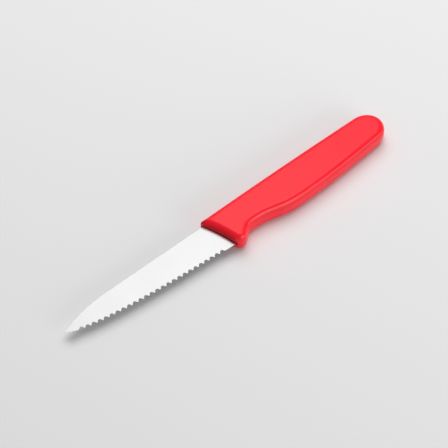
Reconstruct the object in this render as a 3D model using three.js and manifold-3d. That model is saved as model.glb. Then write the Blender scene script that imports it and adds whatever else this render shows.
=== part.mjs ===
// Serrated vegetable knife: a stamped steel blade, held by its tang in a moulded plastic handle.
// Millimetres and degrees. The knife lies on its right side: +X runs from the tip to the butt, +Y from the cutting
// edge to the spine and +Z up through its thickness. It is drawn with x = 0 where blade and handle meet
// at mid height, y = 0 on the blade's spine and z = 0 at mid thickness, and set down on z = 0 at the end.

import * as THREE from 'three';
import { mergeVertices } from 'three/addons/utils/BufferGeometryUtils.js';
import Module from 'manifold-3d';

// Blade blank
const bladeLength = 85.8;
const stockThickness = 1.2;
const tipDrop = 4.7;
const tipRun = 26;
const heelHeight = 17;
const shoulderSet = 4;

// Cutting edge: it leaves tip and heel at these angles to the spine, and its belly bends near the tip
const tipAngle = 42;
const tipArm = 6.5;
const heelAngle = 2.9;
const bellyRun = 17.9;

// Flat grind on both sides, and the bevel of the edge, which is on the right side only
const grindHeight = 14.5;
const edgeThickness = 0.55;
const bevelAngle = 16;
const bevelLand = 0.12;

// Serration: flutes ground into the bevel, from the heel towards the tip
const toothPitch = 2.95;
const toothDepth = 1.25;
const toothLand = 0.5;
const plainHeel = 8.5;
const plainTip = 5;

// Tang: it steps in from the blade at two shoulders, with a round root at each. Its front hole is set
// from the meeting of blade and handle, and its rear hole from the tang's end
const tangLength = 62;
const spineShoulder = 3.2;
const heelShoulder = 5.2;
const rootRadius = 2;
const tangHoleRadius = 2.4;
const tangHoleFront = 20;
const tangHoleRear = 18;

// Handle outline at mid thickness, with heights measured from the line of the blade's spine
const handleLength = 98.6;
const handleThickness = 10;
const handleRise = 1.2;
const spineCrown = 0.36;
const frontReach = 4.4;
const frontSlant = 12;
const guardSet = 5.05;
const guardRadius = 3.8;
const guardBack = 3.6;
const notchRadius = 5.5;
const swellSet = 41;
const swellDrop = 18;
const bellyTaper = 5.5;
const buttDrop = 15;
const buttNoseDrop = 7.3;
const buttSpineRun = 9.8;
const buttBellyRun = 8.4;

// Rounding from the flat sides of the handle into its rim
const rimInset = 2.9;
const rimDepth = 3.6;

// Gap between the tang and the plastic round it, and the walls below the blade's heel and the tang
const tangClearance = 0.3;
const guardCover = 1.7;
const notchWall = 2.5;

// Facets
const curveSteps = 14;
const rimSteps = 5;
const frontSteps = 3;
const edgeSteps = 48;
const fluteSides = 48;
const holeSides = 24;

// Reach of a cutting tool past the face that it cuts
const overcut = 1;
const mergeDistance = 1e-5;

const bevel = THREE.MathUtils.degToRad(bevelAngle);
const up = new THREE.Vector3(0, 0, 1);
const tip = new THREE.Vector3(-bladeLength, -tipDrop, 0);
const heel = new THREE.Vector3(shoulderSet, -heelHeight, 0);
const tangTop = -spineShoulder;
const tangBottom = heelShoulder - heelHeight;
const slotThickness = stockThickness + 2 * tangClearance;

const wasm = await Module();
wasm.setup();

// A closed solid from one of the geometry classes, placed by an optional matrix
function solid(geometry, matrix = new THREE.Matrix4()) {
  const bare = geometry.clone().applyMatrix4(matrix);
  bare.deleteAttribute('normal');
  bare.deleteAttribute('uv');
  const merged = mergeVertices(bare, mergeDistance);
  const mesh = new wasm.Mesh({
    numProp: 3,
    vertProperties: Float32Array.from(merged.attributes.position.array),
    triVerts: Uint32Array.from(merged.index.array),
  });
  return new wasm.Manifold(mesh);
}

function namedMesh(name, body, material) {
  const { vertProperties, triVerts } = body.getMesh();
  const geometry = new THREE.BufferGeometry();
  geometry.setAttribute('position', new THREE.BufferAttribute(vertProperties, 3));
  geometry.setIndex(new THREE.BufferAttribute(triVerts, 1));
  geometry.computeVertexNormals();
  const mesh = new THREE.Mesh(geometry, material);
  mesh.name = name;
  return mesh;
}

// A plate of one outline, centred on z = 0
function plate(shape, thickness) {
  const options = { depth: thickness, bevelEnabled: false, curveSegments: curveSteps };
  const centre = new THREE.Matrix4().makeTranslation(0, 0, -thickness / 2);
  return solid(new THREE.ExtrudeGeometry(shape, options), centre);
}

function pinAcross(x, y, radius, height) {
  const cylinder = new THREE.CylinderGeometry(radius, radius, height, holeSides);
  const stand = new THREE.Matrix4().makeRotationX(Math.PI / 2);
  return solid(cylinder, stand.premultiply(new THREE.Matrix4().makeTranslation(x, y, 0)));
}

// The cutting edge from tip to heel
function edgeCurve() {
  const leave = THREE.MathUtils.degToRad(tipAngle);
  const arrive = THREE.MathUtils.degToRad(heelAngle);
  const first = new THREE.Vector3(Math.cos(leave), -Math.sin(leave), 0).multiplyScalar(tipArm).add(tip);
  const straight = heel.x - tip.x - bellyRun;
  const last = new THREE.Vector3(-straight, straight * Math.tan(arrive), 0).add(heel);
  return new THREE.CubicBezierCurve3(tip, first, last, heel);
}

// The tang's sides and round end, drawn from the spine shoulder to the heel shoulder
function drawTang(path, grow) {
  const shoulder = shoulderSet + grow;
  const top = tangTop + grow;
  const bottom = tangBottom - grow;
  const round = (top - bottom) / 2;
  const root = rootRadius - grow;
  path.lineTo(shoulder, top + root);
  path.quadraticCurveTo(shoulder, top, shoulder + root, top);
  path.lineTo(tangLength + grow - round, top);
  path.absarc(tangLength + grow - round, top - round, round, Math.PI / 2, -Math.PI / 2, true);
  path.lineTo(shoulder + root, bottom);
  path.quadraticCurveTo(shoulder, bottom, shoulder, bottom - root);
}

function tangHoleCentres() {
  const middle = (tangTop + tangBottom) / 2;
  return [tangHoleFront, tangLength - tangHoleRear].map((x) => new THREE.Vector2(x, middle));
}

// Outline of the stamped blank: spine, tang, heel and the line of the tooth tips
function blankShape(edge) {
  const shape = new THREE.Shape();
  shape.moveTo(tip.x, tip.y);
  shape.quadraticCurveTo(tip.x + tipRun / 2, 0, tip.x + tipRun, 0);
  shape.lineTo(shoulderSet, 0);
  drawTang(shape, 0);
  shape.lineTo(heel.x, heel.y);
  const edgePoints = edge.getSpacedPoints(edgeSteps).reverse();
  edgePoints.slice(1, -1).forEach((point) => shape.lineTo(point.x, point.y));
  shape.closePath();
  tangHoleCentres().forEach((centre) => {
    const hole = new THREE.Path();
    hole.absarc(centre.x, centre.y, tangHoleRadius, 0, 2 * Math.PI, false);
    shape.holes.push(hole);
  });
  return shape;
}

// Half the blade's thickness at a point: thinnest on the straight line from tip to heel
const grindLine = heel.clone().sub(tip).normalize();
const grindAcross = new THREE.Vector3(-grindLine.y, grindLine.x, 0);
const grindSlope = (stockThickness - edgeThickness) / 2 / grindHeight;

function halfThickness(point) {
  const above = point.clone().sub(tip).dot(grindAcross);
  return Math.min(stockThickness / 2, edgeThickness / 2 + above * grindSlope);
}

// The wedge of steel that the flat grind takes off one side
function grindWedge(side) {
  const low = -heelHeight;
  const high = grindHeight + heelHeight;
  const outside = stockThickness + overcut;
  const section = new THREE.Shape();
  section.moveTo(low, side * (edgeThickness / 2 + low * grindSlope));
  section.lineTo(high, side * (edgeThickness / 2 + high * grindSlope));
  section.lineTo(high, side * outside);
  section.lineTo(low, side * outside);
  section.closePath();
  const run = heel.distanceTo(tip) + 2 * overcut;
  const prism = new THREE.ExtrudeGeometry(section, { depth: run, bevelEnabled: false });
  const start = tip.clone().addScaledVector(grindLine, -overcut);
  const lay = new THREE.Matrix4().makeBasis(grindAcross, up, grindLine).setPosition(start);
  return solid(prism, lay);
}

// The edge, carried on straight past the tip and the heel
function longEdge(edge) {
  const before = tip.clone().addScaledVector(edge.getTangentAt(0), -overcut);
  const after = heel.clone().addScaledVector(edge.getTangentAt(1), overcut);
  const path = new THREE.CurvePath();
  path.add(new THREE.LineCurve3(before, tip));
  path.add(edge);
  path.add(new THREE.LineCurve3(heel, after));
  return path;
}

// The bevel along the whole edge: a wedge swept on the right side, before the flutes are ground
function bevelWedge(edge) {
  const outside = stockThickness / 2 + overcut;
  const start = bevelLand - edgeThickness / 2;
  const rise = Math.tan(bevel);
  const section = new THREE.Shape();
  section.moveTo(start - overcut * rise, -overcut);
  section.lineTo(outside, (outside - start) / rise);
  section.lineTo(outside, -overcut);
  section.closePath();
  return solid(new THREE.ExtrudeGeometry(section, { extrudePath: longEdge(edge), steps: edgeSteps }));
}

// One round flute per tooth gap: it runs out through the flat side at the depth of the gap
function fluteCutters(edge) {
  const sag = toothDepth * Math.sin(bevel);
  const halfGap = (toothPitch - toothLand) / 2;
  const radius = (halfGap * halfGap + sag * sag) / (2 * sag);
  const reach = 2 * (toothDepth + (stockThickness + overcut) / Math.tan(bevel));
  const edgeLength = edge.getLength();
  const count = Math.floor((edgeLength - plainHeel - plainTip) / toothPitch);
  const wheel = new THREE.CylinderGeometry(radius, radius, reach, fluteSides);
  const cutters = [];
  for (let tooth = 0; tooth < count; tooth += 1) {
    const along = 1 - (plainHeel + (tooth + 0.5) * toothPitch) / edgeLength;
    const tangent = edge.getTangentAt(along);
    const inward = new THREE.Vector3(-tangent.y, tangent.x, 0);
    const gap = edge.getPointAt(along).addScaledVector(inward, toothDepth);
    gap.addScaledVector(up, halfThickness(gap));
    const axis = inward.clone().multiplyScalar(Math.cos(bevel)).addScaledVector(up, -Math.sin(bevel));
    const across = tangent.clone().cross(axis);
    const place = new THREE.Matrix4().makeBasis(tangent, axis, across);
    cutters.push(solid(wheel, place.setPosition(gap.addScaledVector(across, -radius))));
  }
  return cutters;
}

function makeBlade() {
  const edge = edgeCurve();
  let blade = plate(blankShape(edge), stockThickness);
  blade = blade.subtract(grindWedge(1)).subtract(grindWedge(-1));
  blade = blade.subtract(bevelWedge(edge));
  fluteCutters(edge).forEach((cutter) => {
    blade = blade.subtract(cutter);
  });
  return blade;
}

// The guard's circle, and the slanted front as a shallow hollow curve from it to the spine corner
function guardAndFront() {
  const slant = THREE.MathUtils.degToRad(frontSlant);
  const guard = new THREE.Vector2(guardSet, heel.y - guardCover + guardRadius);
  const corner = new THREE.Vector2(-frontReach, handleRise);
  const foot = new THREE.Vector2(-Math.cos(slant), -Math.sin(slant)).multiplyScalar(guardRadius).add(guard);
  const halfRise = (corner.y - foot.y) / 2;
  const bend = new THREE.Vector2(foot.x - halfRise * Math.tan(slant), foot.y + halfRise);
  return { slant, guard, corner, front: new THREE.QuadraticBezierCurve(foot, bend, corner) };
}

// The finger notch's circle: it clears the tang, and a straight run of the guard's back leads to it
function fingerCentre(guard) {
  const y = tangBottom - notchWall - notchRadius;
  const apart = Math.hypot(guardBack, guardRadius + notchRadius);
  return new THREE.Vector2(guard.x + Math.sqrt(apart ** 2 - (guard.y - y) ** 2), y);
}

// Outline of the handle at mid thickness, clockwise from its front corner
function handleShape() {
  const { slant, guard, corner, front } = guardAndFront();
  const finger = fingerCentre(guard);
  const shape = new THREE.Shape();

  // Spine, with a slight crown, and the round butt
  const buttSpine = handleLength - buttSpineRun;
  const buttBelly = handleLength - buttBellyRun;
  shape.moveTo(corner.x, corner.y);
  shape.quadraticCurveTo((corner.x + buttSpine) / 2, handleRise + 2 * spineCrown, buttSpine, handleRise);
  shape.absellipse(buttSpine, -buttNoseDrop, buttSpineRun, buttNoseDrop + handleRise, Math.PI / 2, 0, true);
  const taper = THREE.MathUtils.degToRad(bellyTaper);
  const buttHeight = buttDrop - buttNoseDrop;
  const buttEnd = Math.atan(buttBellyRun * Math.tan(taper) / buttHeight) - Math.PI / 2;
  shape.absellipse(buttBelly, -buttNoseDrop, buttBellyRun, buttHeight, 0, buttEnd, true);

  // Belly: a long taper to the palm swell, then in to the finger notch
  const start = shape.currentPoint.clone();
  const taperArm = (start.x - swellSet) / 3;
  const notchArm = (swellSet - finger.x) / 2;
  const notchTop = finger.y + notchRadius;
  shape.bezierCurveTo(
    start.x - taperArm, start.y - taperArm * Math.tan(taper),
    swellSet + taperArm, -swellDrop,
    swellSet, -swellDrop,
  );
  shape.bezierCurveTo(
    swellSet - notchArm, -swellDrop,
    finger.x + notchArm, notchTop,
    finger.x, notchTop,
  );

  // Finger notch and guard: two arcs with the line that touches both
  const across = finger.clone().sub(guard);
  const climb = across.angle() + Math.asin((guardRadius + notchRadius) / across.length());
  const quarter = Math.PI / 2;
  shape.absarc(finger.x, finger.y, notchRadius, quarter, quarter + climb, false);
  shape.absarc(guard.x, guard.y, guardRadius, climb - quarter, slant - Math.PI, true);
  front.getPoints(frontSteps).slice(1, -1).forEach((point) => shape.lineTo(point.x, point.y));
  shape.closePath();
  return shape;
}

// Slot for the tang, with its mouth open at the front of the handle
function slotShape() {
  const mouth = -frontReach - overcut;
  const shape = new THREE.Shape();
  shape.moveTo(mouth, tangClearance);
  shape.lineTo(shoulderSet + tangClearance, tangClearance);
  drawTang(shape, tangClearance);
  shape.lineTo(heel.x + tangClearance, heel.y - tangClearance);
  shape.lineTo(mouth, heel.y - tangClearance);
  shape.closePath();
  return shape;
}

function makeHandle() {
  const rim = Math.min(rimDepth, (handleThickness - slotThickness) / 2);
  const moulding = new THREE.ExtrudeGeometry(handleShape(), {
    depth: handleThickness - 2 * rim,
    bevelThickness: rim,
    bevelSize: rimInset,
    bevelOffset: -rimInset,
    bevelSegments: rimSteps,
    curveSegments: curveSteps,
  });
  const centre = new THREE.Matrix4().makeTranslation(0, 0, rim - handleThickness / 2);
  let handle = solid(moulding, centre).subtract(plate(slotShape(), slotThickness));
  tangHoleCentres().forEach(({ x, y }) => {
    const post = pinAcross(x, y, tangHoleRadius - tangClearance, slotThickness + 2 * overcut);
    handle = handle.add(post);
  });
  return handle;
}

const steel = new THREE.MeshStandardMaterial({ color: 0xd9dbdc, roughness: 0.32, metalness: 1 });
const redPlastic = new THREE.MeshStandardMaterial({ color: 0xe01522, roughness: 0.38, metalness: 0 });

const knife = new THREE.Group();
knife.add(namedMesh('blade', makeBlade(), steel));
knife.add(namedMesh('handle', makeHandle(), redPlastic));

// Lay the knife on its flat side, with the origin under the middle of its length and height
const box = new THREE.Box3().setFromObject(knife);
const middle = box.getCenter(new THREE.Vector3());
knife.position.set(-middle.x, -middle.y, -box.min.z);
knife.updateMatrixWorld(true);

export default knife;
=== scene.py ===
# %% [markdown]
# A small serrated vegetable knife lies on its right side on a pale table. Its solids are already made at
# their real size. This lesson dresses them: it makes a finer mesh of the handle and of the blade in the
# place of each solid, gives both their finish, and sets up a small studio with its camera. The solids are
# loaded first, because every later piece takes its place from them.

# %% Load the solids
import math

import bmesh
import bpy
import numpy as np
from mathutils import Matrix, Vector


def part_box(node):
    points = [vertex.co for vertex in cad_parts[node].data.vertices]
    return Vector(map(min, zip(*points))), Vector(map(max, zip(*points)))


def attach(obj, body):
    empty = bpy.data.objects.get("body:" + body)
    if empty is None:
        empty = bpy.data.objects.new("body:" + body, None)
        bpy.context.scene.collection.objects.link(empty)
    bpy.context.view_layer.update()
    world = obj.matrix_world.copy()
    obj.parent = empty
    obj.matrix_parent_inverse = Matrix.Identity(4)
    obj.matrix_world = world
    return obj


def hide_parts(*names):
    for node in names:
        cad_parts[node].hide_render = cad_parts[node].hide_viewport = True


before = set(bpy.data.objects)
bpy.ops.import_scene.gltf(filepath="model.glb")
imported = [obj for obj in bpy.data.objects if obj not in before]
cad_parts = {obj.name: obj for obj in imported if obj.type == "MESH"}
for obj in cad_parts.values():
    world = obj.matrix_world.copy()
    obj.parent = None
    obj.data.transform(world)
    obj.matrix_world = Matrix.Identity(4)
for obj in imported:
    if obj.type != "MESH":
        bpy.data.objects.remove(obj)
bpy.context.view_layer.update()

# %% [markdown]
# Both pieces are drawn flat, as a knife maker draws them: in millimetres, with x = 0 where blade and handle
# meet, y = 0 on the spine of the blade and z = 0 in the middle of the thickness. Blender works in metres, so
# one function carries a drawn point into the scene. The large sizes are read from the boxes of the solids
# and not typed again, so the dressed knife can't grow away from them.

# %% The drawing and its large sizes
MM = 0.001
BLADE_LENGTH = 85.8

blade_low, blade_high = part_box("blade")
handle_low, handle_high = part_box("handle")
drawing_zero = Vector((blade_low.x + BLADE_LENGTH * MM, blade_high.y, (blade_low.z + blade_high.z) / 2))


def drawn(point):
    """The drawing's millimetres of a point that is given in metres."""
    return (point - drawing_zero) / MM


def placed(points):
    """Metres in the scene of points that are drawn in millimetres."""
    return np.asarray(points) * MM + np.array(drawing_zero)


stock = (blade_high.z - blade_low.z) / MM
heel_drop = -drawn(blade_low).y
tang_end = drawn(blade_high).x
handle_end = drawn(handle_high).x
handle_half = (handle_high.z - handle_low.z) / MM / 2
guard_drop = -drawn(handle_low).y
print(f"stock {stock:.2f}, heel {heel_drop:.2f}, tang to {tang_end:.2f} mm")
print(f"handle to {handle_end:.2f}, half thickness {handle_half:.2f}, guard {guard_drop:.2f} mm")

# %% [markdown]
# Every outline here is made of arcs and Bezier curves. A Bezier curve is nothing but repeated mixing between
# its control points, so five lines cover curves with three points and with four. Points along a curve bunch
# up where it bends, and a mesh likes even steps, so a second helper walks along a line of points and sets
# new ones at distances that are asked for.

# %% Curves
def bezier(controls, t):
    """Points on a Bezier curve with any number of control points, at the values t from 0 to 1."""
    layer = [np.outer(np.ones_like(t), control) for control in controls]
    while len(layer) > 1:
        layer = [start + (end - start) * t[:, None] for start, end in zip(layer, layer[1:])]
    return layer[0]


def arc(centre, radii, start, end, steps):
    """Points on an ellipse's arc between two angles in radians."""
    angles = np.linspace(start, end, steps)
    return np.column_stack([centre[0] + radii[0] * np.cos(angles), centre[1] + radii[1] * np.sin(angles)])


def distances(points):
    """How far along a line of points each of them lies."""
    steps = np.linalg.norm(np.diff(points, axis=0), axis=1)
    return np.concatenate([[0], np.cumsum(steps)])


def at_distances(points, wanted):
    """The points that lie at the wanted distances along a line of points."""
    known = distances(points)
    return np.column_stack([np.interp(wanted, known, points[:, axis]) for axis in range(points.shape[1])])


def unit(vector):
    return np.asarray(vector, float) / np.linalg.norm(vector)


print("half way on a bow:", bezier([(0, 0), (1, 2), (2, 0)], np.array([0.5])))

# %% [markdown]
# The cutting edge is one long, nearly straight curve that turns up to the point. The spine is straight and
# drops to the point in a gentle bow. Both are functions of x, so the blade can be built as a row of thin
# upright slices, one for each x, which all run together in the point.

# %% Outline of the blade
SHOULDER = 4.0
TIP_DROP = 4.7
TIP_RUN = 26.0
TIP_ANGLE = math.radians(42)
TIP_ARM = 6.5
HEEL_ANGLE = math.radians(2.9)
BELLY_RUN = 17.9
EDGE_SAMPLES = 4001

tip = np.array([-BLADE_LENGTH, -TIP_DROP])
heel = np.array([SHOULDER, -heel_drop])
straight_run = SHOULDER + BLADE_LENGTH - BELLY_RUN
edge_controls = np.array([
    tip,
    tip + TIP_ARM * np.array([math.cos(TIP_ANGLE), -math.sin(TIP_ANGLE)]),
    heel + straight_run * np.array([-1, math.tan(HEEL_ANGLE)]),
    heel,
])
edge_line = bezier(edge_controls, np.linspace(0, 1, EDGE_SAMPLES))[::-1]
edge_length = distances(edge_line)[-1]


def spine_height(x):
    along = np.clip((x + BLADE_LENGTH) / TIP_RUN, 0, 1)
    return -TIP_DROP * (1 - along) ** 2


print(f"edge {edge_length:.2f} mm from heel to tip")

# %% [markdown]
# The blade is stamped from sheet steel and ground thinner towards the edge on both sides, so its thickness
# grows evenly with the distance from the straight line between tip and heel, up to that of the sheet.

# %% Grind
GRIND_HEIGHT = 14.5
EDGE_THICKNESS = 0.55

grind_line = unit(heel - tip)
grind_across = np.array([-grind_line[1], grind_line[0]])
grind_slope = (stock - EDGE_THICKNESS) / 2 / GRIND_HEIGHT


def half_thickness(x, y):
    """Half the thickness of the ground blade: least on the straight line from tip to heel."""
    above = (x - tip[0]) * grind_across[0] + (y - tip[1]) * grind_across[1]
    return np.minimum(stock / 2, EDGE_THICKNESS / 2 + above * grind_slope)


print(f"blade {2 * half_thickness(*heel):.2f} mm thick at the heel")

# %% [markdown]
# The right side, which lies underneath here, has a bevel along the whole edge. A grinding wheel with a
# round profile cuts one slanting flute for each gap into that bevel. Where a flute breaks through the flat
# left side, it leaves the round gap that can be seen from above. The teeth could be cut out with one
# boolean for each flute. It is cleaner to treat the underside as a height above the drawing: the highest
# of the ground face, the bevel and the flutes. The left side is the ground face alone, and the edge is
# where the two heights meet.

# %% Flutes
BEVEL = math.radians(16)
TOOTH_PITCH = 2.95
TOOTH_DEPTH = 1.25
TOOTH_LAND = 0.5
PLAIN_HEEL = 8.5
PLAIN_TIP = 5.0
TANGENT_REACH = 0.01

tooth_count = int((edge_length - PLAIN_HEEL - PLAIN_TIP) // TOOTH_PITCH)
half_gap = (TOOTH_PITCH - TOOTH_LAND) / 2
flute_sag = TOOTH_DEPTH * math.sin(BEVEL)
flute_radius = (half_gap ** 2 + flute_sag ** 2) / (2 * flute_sag)


def edge_frame(from_heel):
    """Places on the edge, with their directions towards the tip and into the blade."""
    point = at_distances(edge_line, from_heel)
    ahead = at_distances(edge_line, np.clip(from_heel + TANGENT_REACH, 0, edge_length))
    behind = at_distances(edge_line, np.clip(from_heel - TANGENT_REACH, 0, edge_length))
    tangent = (ahead - behind) / np.linalg.norm(ahead - behind, axis=1, keepdims=True)
    return point, tangent, np.column_stack([tangent[:, 1], -tangent[:, 0]])


gap_places = PLAIN_HEEL + (np.arange(tooth_count) + 0.5) * TOOTH_PITCH
gap_points, gap_tangents, gap_inwards = edge_frame(gap_places)
gap_points = gap_points + TOOTH_DEPTH * gap_inwards
gap_heights = half_thickness(gap_points[:, 0], gap_points[:, 1])


def flute_heights(x, y):
    """Height of the highest flute over each drawn point."""
    across_x = x[..., None] - gap_points[:, 0]
    across_y = y[..., None] - gap_points[:, 1]
    sideways = across_x * gap_tangents[:, 0] + across_y * gap_tangents[:, 1]
    inward = across_x * gap_inwards[:, 0] + across_y * gap_inwards[:, 1]
    inside = np.abs(sideways) < flute_radius
    hollow = flute_radius - np.sqrt(np.where(inside, flute_radius ** 2 - sideways ** 2, 0))
    heights = gap_heights - hollow / math.cos(BEVEL) - inward * math.tan(BEVEL)
    return np.where(inside, heights, -stock).max(axis=-1)


print(f"{tooth_count} gaps, each ground by a wheel of {flute_radius:.2f} mm radius")

# %% [markdown]
# The blade is cut into upright slices. They stand close together along each gap, where the edge is round,
# and one stands on each tooth tip, so that the teeth keep their length.

# %% Slices
HEEL_SLICES = 14
SLICES_PER_GAP = 17
TIP_SLICES = 26

gap_steps = np.linspace(TOOTH_LAND / 2, TOOTH_PITCH - TOOTH_LAND / 2, SLICES_PER_GAP)
tooth_steps = np.concatenate([[0], gap_steps])
stations = np.concatenate([
    np.linspace(0, PLAIN_HEEL, HEEL_SLICES, endpoint=False),
    (PLAIN_HEEL + np.arange(tooth_count)[:, None] * TOOTH_PITCH + tooth_steps).ravel(),
    np.linspace(PLAIN_HEEL + tooth_count * TOOTH_PITCH, edge_length, TIP_SLICES),
])
slice_points, _, slice_inwards = edge_frame(stations)
slice_x = slice_points[:, 0]
edge_y = slice_points[:, 1]
spine_y = np.maximum(spine_height(slice_x), edge_y)
print(f"{len(stations)} slices, the tallest {np.max(spine_y - edge_y):.2f} mm")

# %% [markdown]
# Each slice needs three heights: where the steel starts at the edge, where the ground hollow of a flute or
# bevel runs out on the underside, and the spine. The first two are where one height overtakes another,
# and halving the interval again and again finds such a crossing for all slices at once.

# %% Where the slices start
BEVEL_LAND = 0.12
HALVINGS = 40
SEARCH = 6.0

bevel_start = EDGE_THICKNESS / 2 - BEVEL_LAND


def hollow_height(y):
    """Height of bevel and flutes together, at one y for each slice."""
    depth = (y - edge_y) * slice_inwards[:, 1]
    return np.maximum(bevel_start - depth * math.tan(BEVEL), flute_heights(slice_x, y))


def underside(y):
    return np.maximum(-half_thickness(slice_x, y), hollow_height(y))


def crossing(is_before, low, high):
    """The y of each slice up to which is_before holds."""
    for _ in range(HALVINGS):
        middle = (low + high) / 2
        before = is_before(middle)
        low = np.where(before, middle, low)
        high = np.where(before, high, middle)
    return low


def ground_away(y):
    return hollow_height(y) >= half_thickness(slice_x, y)


def hollowed(y):
    return hollow_height(y) > -half_thickness(slice_x, y)


steel_start = crossing(ground_away, edge_y, edge_y + SEARCH)
steel_start = np.minimum(np.where(ground_away(edge_y), steel_start, edge_y), spine_y)
hollow_end = crossing(hollowed, steel_start, edge_y + SEARCH)
hollow_end = np.minimum(hollow_end, spine_y)
print(f"gaps up to {np.max(steel_start - edge_y):.2f} mm deep")

# %% [markdown]
# A mesh helper is worth writing once: it takes rings of points that all have the same count, joins each ring
# to the next with four-sided faces and closes both ends. Where points of a ring fall together, as in the tip
# of the blade, it merges them and drops the empty faces.

# %% Rings into a closed mesh
MERGE = 2e-6


def closed_mesh(name, rings):
    """A new object whose surface runs through rings of points, drawn in millimetres."""
    count = rings.shape[1]
    builder = bmesh.new()
    rows = [[builder.verts.new(point) for point in placed(ring)] for ring in rings]
    for near, far in zip(rows, rows[1:]):
        for side in range(count):
            after = (side + 1) % count
            builder.faces.new((near[side], near[after], far[after], far[side]))
    builder.faces.new(rows[0][::-1])
    builder.faces.new(rows[-1])
    bmesh.ops.remove_doubles(builder, verts=builder.verts, dist=MERGE)
    bmesh.ops.dissolve_degenerate(builder, dist=MERGE / 2, edges=builder.edges)
    bmesh.ops.recalc_face_normals(builder, faces=builder.faces)
    return finished(name, builder)


def finished(name, builder):
    mesh = bpy.data.meshes.new(name)
    builder.to_mesh(mesh)
    builder.free()
    made = bpy.data.objects.new(name, mesh)
    bpy.context.scene.collection.objects.link(made)
    print(f"{name}: {len(mesh.vertices)} points, {len(mesh.polygons)} faces")
    return made


# %% [markdown]
# Now the slices become rings. A ring runs over the left side from the edge to the spine, round the spine,
# whose corners are broken by a tenth of a millimetre as they are on a tumbled blank, back under the right
# side and up the hollow of the flute to the edge again.

# %% Blade body
FACE_ROWS = 9
HOLLOW_ROWS = 6
SPINE_BREAK = 0.1

spine_break = np.minimum(SPINE_BREAK, (spine_y - steel_start) / 3)
face_end = spine_y - spine_break


def row(y, z):
    return np.column_stack([slice_x, y, z])


def between(low, high, share):
    return low + (high - low) * share


ring_rows = []
for share in np.linspace(0, 1, FACE_ROWS):
    y = between(steel_start, face_end, share)
    ring_rows.append(row(y, half_thickness(slice_x, y)))
spine_half = half_thickness(slice_x, spine_y) - spine_break
ring_rows.append(row(spine_y, spine_half))
ring_rows.append(row(spine_y, np.maximum(-spine_half, underside(spine_y))))
for share in np.linspace(0, 1, FACE_ROWS):
    y = between(face_end, np.minimum(hollow_end, face_end), share)
    ring_rows.append(row(y, underside(y)))
for share in np.linspace(0, 1, HOLLOW_ROWS)[1:]:
    y = between(np.minimum(hollow_end, face_end), steel_start, share)
    ring_rows.append(row(y, np.minimum(underside(y), half_thickness(slice_x, y))))
blade = closed_mesh("ground_blade", np.stack(ring_rows, axis=1))

# %% [markdown]
# Behind the heel the steel steps in to a narrow tang, which the plastic grips. It is hidden, but a knife
# whose blade stops at the handle would fall apart in the hand, so the tang and its two holes are made too.
# A flat curve in Blender fills itself and leaves out the curves inside it, which makes a plate with holes
# from its outlines alone. The same helper cuts the slot in the handle later, a little larger all round.

# %% Plates with holes
HOLE_STEPS = 49


def plate(name, loops, thickness):
    """A plate from closed outlines: the first is its rim and the others are holes."""
    curve = bpy.data.curves.new(name, "CURVE")
    curve.dimensions = "2D"
    curve.fill_mode = "BOTH"
    curve.extrude = thickness / 2 * MM
    for loop in loops:
        spline = curve.splines.new("POLY")
        spline.points.add(len(loop) - 1)
        spline.use_cyclic_u = True
        for point, (x, y) in zip(spline.points, loop):
            point.co = (x * MM, y * MM, 0, 1)
    holder = bpy.data.objects.new(name, curve)
    bpy.context.scene.collection.objects.link(holder)
    filled = bpy.data.meshes.new_from_object(holder.evaluated_get(bpy.context.evaluated_depsgraph_get()))
    bpy.data.objects.remove(holder)
    builder = bmesh.new()
    builder.from_mesh(filled)
    bmesh.ops.translate(builder, verts=builder.verts, vec=drawing_zero)
    bmesh.ops.remove_doubles(builder, verts=builder.verts, dist=MERGE)
    bmesh.ops.recalc_face_normals(builder, faces=builder.faces)
    return finished(name, builder)


def combine(base, other, operation):
    """Joins the other closed mesh to the base, or cuts it out, and merges points that nearly meet."""
    modifier = base.modifiers.new(operation, "BOOLEAN")
    modifier.operation = operation
    modifier.solver = "EXACT"
    modifier.object = other
    base.data = bpy.data.meshes.new_from_object(base.evaluated_get(bpy.context.evaluated_depsgraph_get()))
    base.modifiers.clear()
    bpy.data.objects.remove(other)
    builder = bmesh.new()
    builder.from_mesh(base.data)
    bmesh.ops.remove_doubles(builder, verts=builder.verts, dist=MERGE)
    builder.to_mesh(base.data)
    builder.free()
    print(f"{base.name} after {operation.lower()}: {len(base.data.polygons)} faces")


# %% [markdown]
# The tang's outline is drawn from the shoulder at the spine, along its top, round its end and back to the
# shoulder at the heel. Grown by the clearance, it is also the outline of the slot.

# %% Tang
SPINE_SHOULDER = 3.2
HEEL_SHOULDER = 5.2
ROOT_RADIUS = 2.0
HOLE_RADIUS = 2.4
HOLE_FRONT = 20.0
HOLE_REAR = 18.0
TANG_CLEARANCE = 0.3
TANG_LAP = 0.5
ROOT_STEPS = np.linspace(0, 1, 9)
END_STEPS = 33


def tang_loop(grow, front):
    """The tang's outline, larger by grow all round, with extra points in front of its two roots."""
    shoulder = SHOULDER + grow
    top = -SPINE_SHOULDER + grow
    bottom = HEEL_SHOULDER - heel_drop - grow
    root = ROOT_RADIUS - grow
    end_radius = (top - bottom) / 2
    end_centre = (tang_end + grow - end_radius, top - end_radius)
    return np.concatenate([
        front[0],
        bezier([(shoulder, top + root), (shoulder, top), (shoulder + root, top)], ROOT_STEPS),
        arc(end_centre, (end_radius, end_radius), math.pi / 2, -math.pi / 2, END_STEPS),
        bezier([(shoulder + root, bottom), (shoulder, bottom), (shoulder, bottom - root)], ROOT_STEPS),
        front[1],
    ])


def tang_holes(radius):
    middle = (HEEL_SHOULDER - heel_drop - SPINE_SHOULDER) / 2
    centres = [(HOLE_FRONT, middle), (tang_end - HOLE_REAR, middle)]
    return [arc(centre, (radius, radius), 0, 2 * math.pi, HOLE_STEPS)[:-1] for centre in centres]


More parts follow.
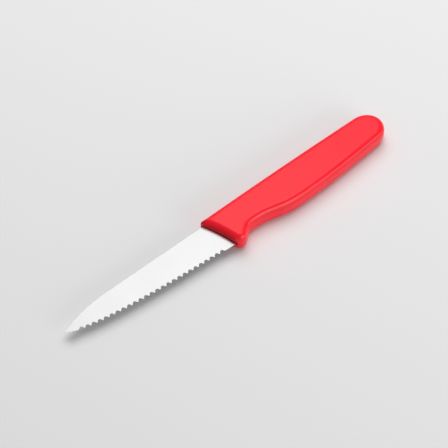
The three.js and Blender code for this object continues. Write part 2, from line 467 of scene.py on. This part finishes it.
lap_top = [(SHOULDER - TANG_LAP, -SPINE_SHOULDER + ROOT_RADIUS)]
lap_bottom = [(SHOULDER - TANG_LAP, HEEL_SHOULDER - heel_drop - ROOT_RADIUS)]
tang = plate("tang", [tang_loop(0, (lap_top, lap_bottom)), *tang_holes(HOLE_RADIUS)], stock)
combine(blade, tang, "UNION")

# %% [markdown]
# The handle is one moulding. Where the forefinger lies it has a notch, and in front of that a small guard.
# They are drawn as two circles, joined by the straight line that touches both. The guard hangs from the
# heel of the blade, and the notch keeps a wall of plastic below the tang.

# %% Guard and finger notch
GUARD_SET = 5.05
GUARD_RADIUS = 3.8
GUARD_BACK = 3.6
NOTCH_RADIUS = 5.5
NOTCH_WALL = 2.5
FRONT_SLANT = math.radians(12)
ARC_STEPS = 91

guard = np.array([GUARD_SET, GUARD_RADIUS - guard_drop])
notch_top = HEEL_SHOULDER - heel_drop - NOTCH_WALL
circles_apart = math.hypot(GUARD_BACK, GUARD_RADIUS + NOTCH_RADIUS)
notch_y = notch_top - NOTCH_RADIUS
notch = np.array([guard[0] + math.sqrt(circles_apart ** 2 - (guard[1] - notch_y) ** 2), notch_y])


def notch_and_guard():
    quarter = math.pi / 2
    across = notch - guard
    climb = math.atan2(across[1], across[0]) + math.asin((GUARD_RADIUS + NOTCH_RADIUS) / circles_apart)
    finger = arc(notch, (NOTCH_RADIUS, NOTCH_RADIUS), quarter, quarter + climb, ARC_STEPS)
    nub = arc(guard, (GUARD_RADIUS, GUARD_RADIUS), climb - quarter, FRONT_SLANT - math.pi, ARC_STEPS)
    return np.concatenate([finger[1:], nub])


print("guard round", guard.round(2), "and notch round", notch.round(2))

# %% [markdown]
# The rest of the outline is the nearly straight spine, the round butt, the belly that swells for the palm
# and the slanting front. Each is a function that returns its points, and strung together they go once
# round the handle.

# %% Outline of the handle
HANDLE_RISE = 1.2
SPINE_CROWN = 0.36
FRONT_REACH = 4.4
SWELL_SET = 41.0
SWELL_DROP = 18.0
BELLY_TAPER = math.radians(5.5)
BUTT_DROP = 15.0
BUTT_NOSE_DROP = 7.3
BUTT_SPINE_RUN = 9.8
BUTT_BELLY_RUN = 8.4
CURVE = np.linspace(0, 1, 121)

corner = np.array([-FRONT_REACH, HANDLE_RISE])


def spine_and_butt():
    spine_end = handle_end - BUTT_SPINE_RUN
    crown = ((corner[0] + spine_end) / 2, HANDLE_RISE + 2 * SPINE_CROWN)
    spine = bezier([corner, crown, (spine_end, HANDLE_RISE)], CURVE)
    upper_radii = (BUTT_SPINE_RUN, BUTT_NOSE_DROP + HANDLE_RISE)
    upper = arc((spine_end, -BUTT_NOSE_DROP), upper_radii, math.pi / 2, 0, ARC_STEPS)
    lower_radii = (BUTT_BELLY_RUN, BUTT_DROP - BUTT_NOSE_DROP)
    turn = math.atan(BUTT_BELLY_RUN * math.tan(BELLY_TAPER) / lower_radii[1]) - math.pi / 2
    lower = arc((handle_end - BUTT_BELLY_RUN, -BUTT_NOSE_DROP), lower_radii, 0, turn, ARC_STEPS)
    return np.concatenate([spine, upper[1:], lower[1:]])


def belly(start):
    taper_arm = (start[0] - SWELL_SET) / 3
    notch_arm = (SWELL_SET - notch[0]) / 2
    swell = (SWELL_SET, -SWELL_DROP)
    leave = (start[0] - taper_arm, start[1] - taper_arm * math.tan(BELLY_TAPER))
    taper = bezier([start, leave, (SWELL_SET + taper_arm, -SWELL_DROP), swell], CURVE)
    arrive = (notch[0] + notch_arm, notch_top)
    rise = bezier([swell, (SWELL_SET - notch_arm, -SWELL_DROP), arrive, (notch[0], notch_top)], CURVE)
    return np.concatenate([taper[1:], rise[1:]])


def front(foot):
    half_rise = (corner[1] - foot[1]) / 2
    bend = (foot[0] - half_rise * math.tan(FRONT_SLANT), foot[1] + half_rise)
    return bezier([foot, bend, corner], CURVE)[1:]


upper_line = spine_and_butt()
lower_line = np.concatenate([belly(upper_line[-1]), notch_and_guard()])
handle_line = np.concatenate([upper_line, lower_line, front(lower_line[-1])])
print(f"handle outline {distances(handle_line)[-1]:.1f} mm round")

# %% [markdown]
# A mould is milled with a round cutter, so no corner of a moulding is quite sharp. The one corner of this
# outline, where the front meets the spine, gets a small radius here. Then the outline is set out in even
# steps, and each of its points gets a direction that leads into the plastic.

# %% Even outline with a rounded corner
CORNER_RADIUS = 0.3
CORNER_STEPS = 6
OUTLINE_STEP = 0.42

spine_way = unit(handle_line[1] - handle_line[0])
front_way = unit(handle_line[-2] - handle_line[-1])
corner_half = math.acos(spine_way @ front_way) / 2
corner_middle = unit(spine_way + front_way)
corner_centre = corner + corner_middle * CORNER_RADIUS / math.sin(corner_half)
corner_trim = CORNER_RADIUS / math.tan(corner_half)

round_length = distances(handle_line)[-1] - 2 * corner_trim
run = corner_trim + np.linspace(0, round_length, round(round_length / OUTLINE_STEP))
main_line = at_distances(handle_line, run)
main_ways = np.gradient(main_line, axis=0)
main_inwards = np.column_stack([main_ways[:, 1], -main_ways[:, 0]])
main_inwards /= np.linalg.norm(main_inwards, axis=1, keepdims=True)


def corner_inwards(share):
    """Directions to the corner's centre: 0 is its middle, 1 its end at the spine, -1 at the front."""
    turn = share * (math.pi / 2 - corner_half)
    side = np.array([-corner_middle[1], corner_middle[0]])
    return np.cos(turn)[:, None] * corner_middle - np.sin(turn)[:, None] * side


spine_corner = corner_inwards(np.linspace(0, 1, CORNER_STEPS)[:-1])
front_corner = corner_inwards(np.linspace(-1, 0, CORNER_STEPS)[1:-1])
inwards = np.concatenate([spine_corner, main_inwards, front_corner])
outline = np.concatenate([
    corner_centre - CORNER_RADIUS * spine_corner,
    main_line,
    corner_centre - CORNER_RADIUS * front_corner,
])
near_spine = np.arange(len(outline)) < len(outline) // 2
print(f"{len(outline)} points round the handle, corner of {math.degrees(2 * corner_half):.1f} degrees")

# %% [markdown]
# The sides of the handle are flat and its rim is round, a little deeper than it is wide. The rim could be a
# Bevel modifier on a plain slab, but its round profile is a true circle, so the rings are made directly:
# each lies further in and further up, on a quarter of an ellipse. At the one tight corner the inset lines
# of front and spine run into each other, so points that have passed the line between them stop there.
# Half way down the wall a hair-fine groove marks where the two halves of the mould met.

# %% Handle body
RIM_INSET = 2.9
RIM_DEPTH = 3.6
RIM_STEPS = 13
FLAT_MARGIN = 0.35
SEAM_HALF = 0.09
SEAM_DEPTH = 0.06
CORNER_REACH = 4 * RIM_INSET


def inset_line(inset):
    """The outline moved into the plastic, without the fold at the tight corner."""
    moved = outline + inset * inwards
    if inset > CORNER_RADIUS:
        meet = corner_centre + corner_middle * (inset - CORNER_RADIUS) / math.sin(corner_half)
        past_spine = near_spine & ((moved - meet) @ spine_way < 0)
        past_front = ~near_spine & ((moved - meet) @ front_way < 0)
        close = np.linalg.norm(outline - corner, axis=1) < CORNER_REACH
        moved[(past_spine | past_front) & close] = meet
    return moved


def level(inset, z):
    line = inset_line(inset)
    return np.column_stack([line, np.full(len(line), z)])


def rim_levels(side):
    """The rings of one rim, from the wall to the flat side and a little way across it."""
    turns = np.linspace(0, math.pi / 2, RIM_STEPS)
    wall = handle_half - RIM_DEPTH
    rings = [level(RIM_INSET * (1 - math.cos(t)), side * (wall + RIM_DEPTH * math.sin(t))) for t in turns]
    return [*rings, level(RIM_INSET + FLAT_MARGIN, side * handle_half)]


seam_levels = [level(0, -SEAM_HALF), level(SEAM_DEPTH, 0), level(0, SEAM_HALF)]
handle_rings = np.stack([*rim_levels(-1)[::-1], *seam_levels, *rim_levels(1)])
handle = closed_mesh("moulded_handle", handle_rings)

# %% [markdown]
# The steel goes into the moulding through a slot with its mouth in the front. The thin dark line that the
# slot draws round the blade is what tells the eye that blade and handle are two pieces. Two plastic posts
# run through the holes in the tang and lock it, so the slot's outline leaves two round islands.

# %% Slot for the tang
MOUTH_REACH = 1.0

mouth_x = -FRONT_REACH - MOUTH_REACH
mouth_top = [(mouth_x, TANG_CLEARANCE), (SHOULDER + TANG_CLEARANCE, TANG_CLEARANCE)]
slot_bottom = -heel_drop - TANG_CLEARANCE
mouth_bottom = [(SHOULDER + TANG_CLEARANCE, slot_bottom), (mouth_x, slot_bottom)]
slot_loop = tang_loop(TANG_CLEARANCE, (mouth_top, mouth_bottom))
posts = tang_holes(HOLE_RADIUS - TANG_CLEARANCE)
slot = plate("slot", [slot_loop, *posts], stock + 2 * TANG_CLEARANCE)
combine(handle, slot, "DIFFERENCE")

# %% [markdown]
# A smooth surface needs smooth shading, and a ground edge needs a hard line. Blender keeps both on one mesh:
# all faces are shaded smooth, and every edge that bends more than a given angle is marked sharp. The blade's
# bevel meets its side at a shallow angle and still has to look crisp, so its limit is low.

# %% Shading
BLADE_CREASE = math.radians(9)
HANDLE_CREASE = math.radians(32)


def shade(piece, crease):
    piece.data.shade_smooth()
    piece.data.set_sharp_from_angle(angle=crease)
    sharp = piece.data.attributes["sharp_edge"].data
    print(piece.name, "sharp edges:", sum(edge.value for edge in sharp))


shade(blade, BLADE_CREASE)
shade(handle, HANDLE_CREASE)

# %% [markdown]
# A finish is a little network of nodes, and such a network is easiest to read as sums. The class Signal
# holds one output of a node and lets it be added, taken away and multiplied, also from the right, as in
# 1 - mask. Each of these puts down one Math node.

# %% Signals that can be summed
class Signal:
    """An output of a node that takes part in sums."""

    def __init__(self, finish, socket):
        self.finish = finish
        self.socket = socket

    def math(self, operation, first, second):
        return self.finish.node("ShaderNodeMath", {"operation": operation}, {0: first, 1: second})

    def __add__(self, other):
        return self.math("ADD", self, other)

    def __radd__(self, other):
        return self.math("ADD", other, self)

    def __sub__(self, other):
        return self.math("SUBTRACT", self, other)

    def __rsub__(self, other):
        return self.math("SUBTRACT", other, self)

    def __mul__(self, other):
        return self.math("MULTIPLY", self, other)

    def __rmul__(self, other):
        return self.math("MULTIPLY", other, self)


print("signals can be added, taken away and multiplied")

# %% [markdown]
# Every other kind of node comes from one method of the class Finish, which takes the node's type, its
# settings and the values or signals for its sockets. A few short methods give names to the nodes that
# come up often. Colours and vectors have nodes of their own, because a Math node makes one number of them.

# %% Nodes of a finish
class Finish:
    """A material or world whose nodes are put down one by one."""

    def __init__(self, holder):
        holder.use_nodes = True
        self.holder = holder
        self.tree = holder.node_tree
        self.tree.nodes.clear()

    def node(self, kind, settings=None, inputs=None, output=0):
        made = self.tree.nodes.new(kind)
        for name, value in (settings or {}).items():
            setattr(made, name, value)
        for name, value in (inputs or {}).items():
            if isinstance(value, Signal):
                self.tree.links.new(value.socket, made.inputs[name])
            else:
                made.inputs[name].default_value = value
        return Signal(self, made.outputs[output]) if made.outputs else made

    def mix(self, share, first, second):
        """A colour between two colours, for which the Mix node has inputs 6 and 7 and output 2."""
        return self.node("ShaderNodeMix", {"data_type": "RGBA"}, {0: share, 6: first, 7: second}, 2)

    def stretched(self, vector, factors):
        """A vector whose parts are multiplied by three numbers."""
        return self.node("ShaderNodeVectorMath", {"operation": "MULTIPLY"}, {0: vector, 1: factors})

    def noise(self, vector, detail, scale=1.0):
        return self.node("ShaderNodeTexNoise", {}, {"Vector": vector, "Scale": scale, "Detail": detail})

    def limited(self, value, low, high):
        """A signal stretched so that low gives 0 and high gives 1."""
        inputs = {"Value": value, "From Min": low, "From Max": high}
        return self.node("ShaderNodeMapRange", {"interpolation_type": "SMOOTHSTEP"}, inputs)

    def bump(self, height, strength, depth):
        return self.node("ShaderNodeBump", {}, {"Height": height, "Strength": strength, "Distance": depth})

    def surface(self, inputs):
        shader = self.node("ShaderNodeBsdfPrincipled", {}, inputs)
        self.node("ShaderNodeOutputMaterial", {}, {"Surface": shader})
        return self.holder


def new_finish(name):
    return Finish(bpy.data.materials.new(name))


print("a finish can be a material or a world")

# %% [markdown]
# The handle is red polypropylene, coloured all through. It leaves the mould with a soft shine: the steel of
# the mould is finely blasted, and the plastic takes on its grain of about a fifth of a millimetre. Colour
# barely varies, because the pigment is mixed in, so most of the life is in the roughness: the grain, the
# slow unevenness of a cooling wall, and the rim, which hands and drawers polish a little.

# %% Red plastic
RED_DEEP = (0.93, 0.003, 0.017, 1)
RED_BRIGHT = (0.97, 0.004, 0.022, 1)
PLASTIC_INDEX = 1.49
PLASTIC_SHINE = 0.46
PLASTIC_ROUGHNESS = 0.25
FLOW_STRETCH = (40, 160, 160)
SCUFF_STRETCH = (260, 1900, 1900)
GRAIN_SCALE = 4200.0
ROUGH_FLAT = 0.05
ROUGH_GRAIN = 0.05
ROUGH_SCUFF = 0.04
ROUGH_FLOW = 0.06
SCUFF_HEIGHT = 0.15
GRAIN_STRENGTH = 0.08
GRAIN_DEPTH = 0.00004
NOISE_MIDDLE = 0.5


def red_plastic():
    finish = new_finish("red_polypropylene")
    place = finish.node("ShaderNodeTexCoord", output="Object")
    flow = finish.noise(finish.stretched(place, FLOW_STRETCH), detail=3.0)
    grain = finish.noise(place, detail=2.0, scale=GRAIN_SCALE)
    scuffs = finish.noise(finish.stretched(place, SCUFF_STRETCH), detail=4.0)
    normal = finish.node("ShaderNodeNewGeometry", output="Normal")
    upright = finish.node("ShaderNodeSeparateXYZ", {}, {0: normal}, "Z")
    flatness = finish.limited(upright * upright, low=0.35, high=0.95)
    scuffed = finish.limited(scuffs, low=0.58, high=0.74)
    colour = finish.mix(finish.limited(flow, low=0.3, high=0.7), RED_DEEP, RED_BRIGHT)
    rough = PLASTIC_ROUGHNESS + ROUGH_FLAT * flatness + ROUGH_GRAIN * grain
    rough = rough + ROUGH_SCUFF * scuffed + ROUGH_FLOW * (flow - NOISE_MIDDLE)
    skin = grain + SCUFF_HEIGHT * scuffs
    return finish.surface({
        "Base Color": colour,
        "Roughness": rough,
        "IOR": PLASTIC_INDEX,
        "Specular IOR Level": PLASTIC_SHINE,
        "Normal": finish.bump(skin, GRAIN_STRENGTH, GRAIN_DEPTH),
    })


handle.data.materials.clear()
handle.data.materials.append(red_plastic())
print("handle finish:", handle.data.materials[0].name)

# %% [markdown]
# The blade is stainless steel with a satin finish. The grinding belt runs across the blade, from spine to
# edge, so its scratches are long that way and hair-fine the other way: noise that is stretched along y.
# The bevel and the flutes come from a finer, harder wheel and shine a little more, so those faces get a
# finish of their own.

# %% Satin steel
STEEL_DARK = (0.585, 0.586, 0.59, 1)
STEEL_LIGHT = (0.645, 0.646, 0.649, 1)
BELT_STRETCH = (5200, 90, 900)
BAND_STRETCH = (700, 25, 120)
CLOUD_SCALE = 55.0
TONE_BELT = 0.5
TONE_BAND = 0.3
TONE_CLOUD = 0.2
ROUGH_BELT = 0.10
ROUGH_BAND = 0.06
ROUGH_CLOUD = 0.08
BAND_HEIGHT = 0.5
SCRATCH_DEPTH = 0.00001


def satin_steel(name, roughness, scratch):
    finish = new_finish(name)
    place = finish.node("ShaderNodeTexCoord", output="Object")
    belt = finish.noise(finish.stretched(place, BELT_STRETCH), detail=3.0)
    bands = finish.noise(finish.stretched(place, BAND_STRETCH), detail=2.0)
    cloud = finish.noise(place, detail=3.0, scale=CLOUD_SCALE)
    tone = finish.limited(TONE_BELT * belt + TONE_BAND * bands + TONE_CLOUD * cloud, low=0.34, high=0.62)
    rough = roughness + ROUGH_BELT * (belt - NOISE_MIDDLE)
    rough = rough + ROUGH_BAND * (bands - NOISE_MIDDLE) + ROUGH_CLOUD * (cloud - NOISE_MIDDLE)
    return finish.surface({
        "Base Color": finish.mix(tone, STEEL_DARK, STEEL_LIGHT),
        "Metallic": 1.0,
        "Roughness": rough,
        "Normal": finish.bump(belt + BAND_HEIGHT * bands, scratch, SCRATCH_DEPTH),
    })


blade.data.materials.clear()
blade.data.materials.append(satin_steel("satin_steel", roughness=0.30, scratch=0.10))
blade.data.materials.append(satin_steel("wheel_ground_steel", roughness=0.22, scratch=0.16))
print("blade finishes:", [material.name for material in blade.data.materials])

# %% [markdown]
# Which faces are bevel and flutes can be read from the mesh: on the underside they alone tilt well away
# from straight down.

# %% Ground faces
DOWN_LIMITS = (-0.985, -0.5)

for face in blade.data.polygons:
    face.material_index = int(DOWN_LIMITS[0] < face.normal.z < DOWN_LIMITS[1])
print("ground faces:", sum(face.material_index for face in blade.data.polygons))

# %% [markdown]
# Both pieces now take the place of their solids. The knife has no moving part, so both ride on its one body.

# %% Put the pieces in place
for piece, node, slot_name in ((blade, "blade", "blade_steel"), (handle, "handle", "handle_plastic")):
    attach(piece, "root")
    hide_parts(node)
    print(piece.name, "stands for", node)

# %% [markdown]
# The studio has a plain pale floor. It is large, so that its end never shows, and it keeps the soft shadow
# that the knife lays on it.

# %% Floor
FLOOR_SIZE = 12.0
FLOOR_COLOUR = (0.76, 0.76, 0.765, 1)
FLOOR_ROUGHNESS = 0.85

builder = bmesh.new()
bmesh.ops.create_grid(builder, x_segments=1, y_segments=1, size=FLOOR_SIZE / 2)
floor = finished("floor", builder)
floor_finish = new_finish("pale_floor")
floor_look = {"Base Color": FLOOR_COLOUR, "Roughness": FLOOR_ROUGHNESS}
floor.data.materials.append(floor_finish.surface(floor_look))

# %% [markdown]
# Four softboxes light the knife, each for one thing that can be seen. The back one hangs where the flat
# sides mirror it, so it gives the steel its white and the plastic its sheen. The low one on the right
# draws a bright band along the belly, and the dark gap between those two reflections shows how round the
# rim is. The top one is wide, hangs behind the knife and gives most of the light and the soft shadow. It
# would fill that dark gap, so reflections leave it out. The front one lights the belly and thins the
# shadow. A lamp is described by how bright its face is: 1 is white in the picture, and the power in watts
# follows from its area.

# %% Light
KNIFE = (0.0, 0.0, 0.005)


def softbox(name, place, aim, size, brightness, mirrored=True):
    lamp = bpy.data.lights.new(name, "AREA")
    lamp.shape = "RECTANGLE"
    lamp.size = size[0]
    lamp.size_y = size[1]
    lamp.energy = brightness * math.pi * size[0] * size[1]
    holder = bpy.data.objects.new(name, lamp)
    holder.location = place
    holder.visible_glossy = mirrored
    holder.rotation_euler = (Vector(aim) - Vector(place)).to_track_quat("-Z", "Y").to_euler()
    bpy.context.scene.collection.objects.link(holder)
    print(f"{name}: {lamp.energy:.2f} W")


softbox(
    "top_softbox",
    place=(0.42, 0.55, 1.1),
    aim=(0.42, 0.55, 0.0),
    size=(1.1, 1.4),
    brightness=2.35,
    mirrored=False,
)
softbox(
    "back_softbox",
    place=(0.36, 0.30, 0.95),
    aim=(0.36, 0.30, 0.0),
    size=(0.56, 1.05),
    brightness=1.55,
)
softbox(
    "right_softbox",
    place=(0.36, -0.86, 0.12),
    aim=KNIFE,
    size=(1.2, 0.2),
    brightness=2.7,
)
softbox(
    "front_softbox",
    place=(0.18, -0.95, 0.40),
    aim=KNIFE,
    size=(0.6, 0.35),
    brightness=3.6,
)

# %% [markdown]
# The walls of a studio give back a little light from all sides. It keeps the shadow grey, and steel that
# mirrors no softbox grey too, where a black world would make both black. The world stands for those
# walls, and one level is enough, because the floor fills the picture behind the knife.

# %% Studio walls
WALL_LEVEL = 0.28

world = bpy.data.worlds.new("studio")
bpy.context.scene.world = world
walls = Finish(world)
background = walls.node("ShaderNodeBackground", {}, {"Color": (1, 1, 1, 1), "Strength": WALL_LEVEL})
walls.node("ShaderNodeOutputWorld", {}, {"Surface": background})
print("studio walls:", WALL_LEVEL)

# %% [markdown]
# The camera looks down on the knife from the front left, from as far away as a long lens needs to make the
# knife fill the picture.

# %% Camera
VIEW_ANGLE = math.radians(13.5)
VIEW_AZIMUTH = math.radians(-40.09)
VIEW_ELEVATION = math.radians(54)
VIEW_DISTANCE = 0.86307
VIEW_AIM = Vector((0.000619, 0.006535, 0.0))
SENSOR_WIDTH = 36.0
NEAREST = 0.01
FARTHEST = 20.0

toward_camera = Vector((
    math.sin(VIEW_AZIMUTH) * math.cos(VIEW_ELEVATION),
    -math.cos(VIEW_AZIMUTH) * math.cos(VIEW_ELEVATION),
    math.sin(VIEW_ELEVATION),
))
camera_data = bpy.data.cameras.new("camera")
camera_data.sensor_width = SENSOR_WIDTH
camera_data.lens = SENSOR_WIDTH / 2 / math.tan(VIEW_ANGLE / 2)
camera_data.clip_start = NEAREST
camera_data.clip_end = FARTHEST
camera = bpy.data.objects.new("camera", camera_data)
camera.location = VIEW_AIM + VIEW_DISTANCE * toward_camera
camera.rotation_euler = (-toward_camera).to_track_quat("-Z", "Y").to_euler()
bpy.context.scene.collection.objects.link(camera)
bpy.context.scene.camera = camera
bpy.context.scene.view_settings.view_transform = "Standard"
print("camera at", [round(value, 4) for value in camera.location])
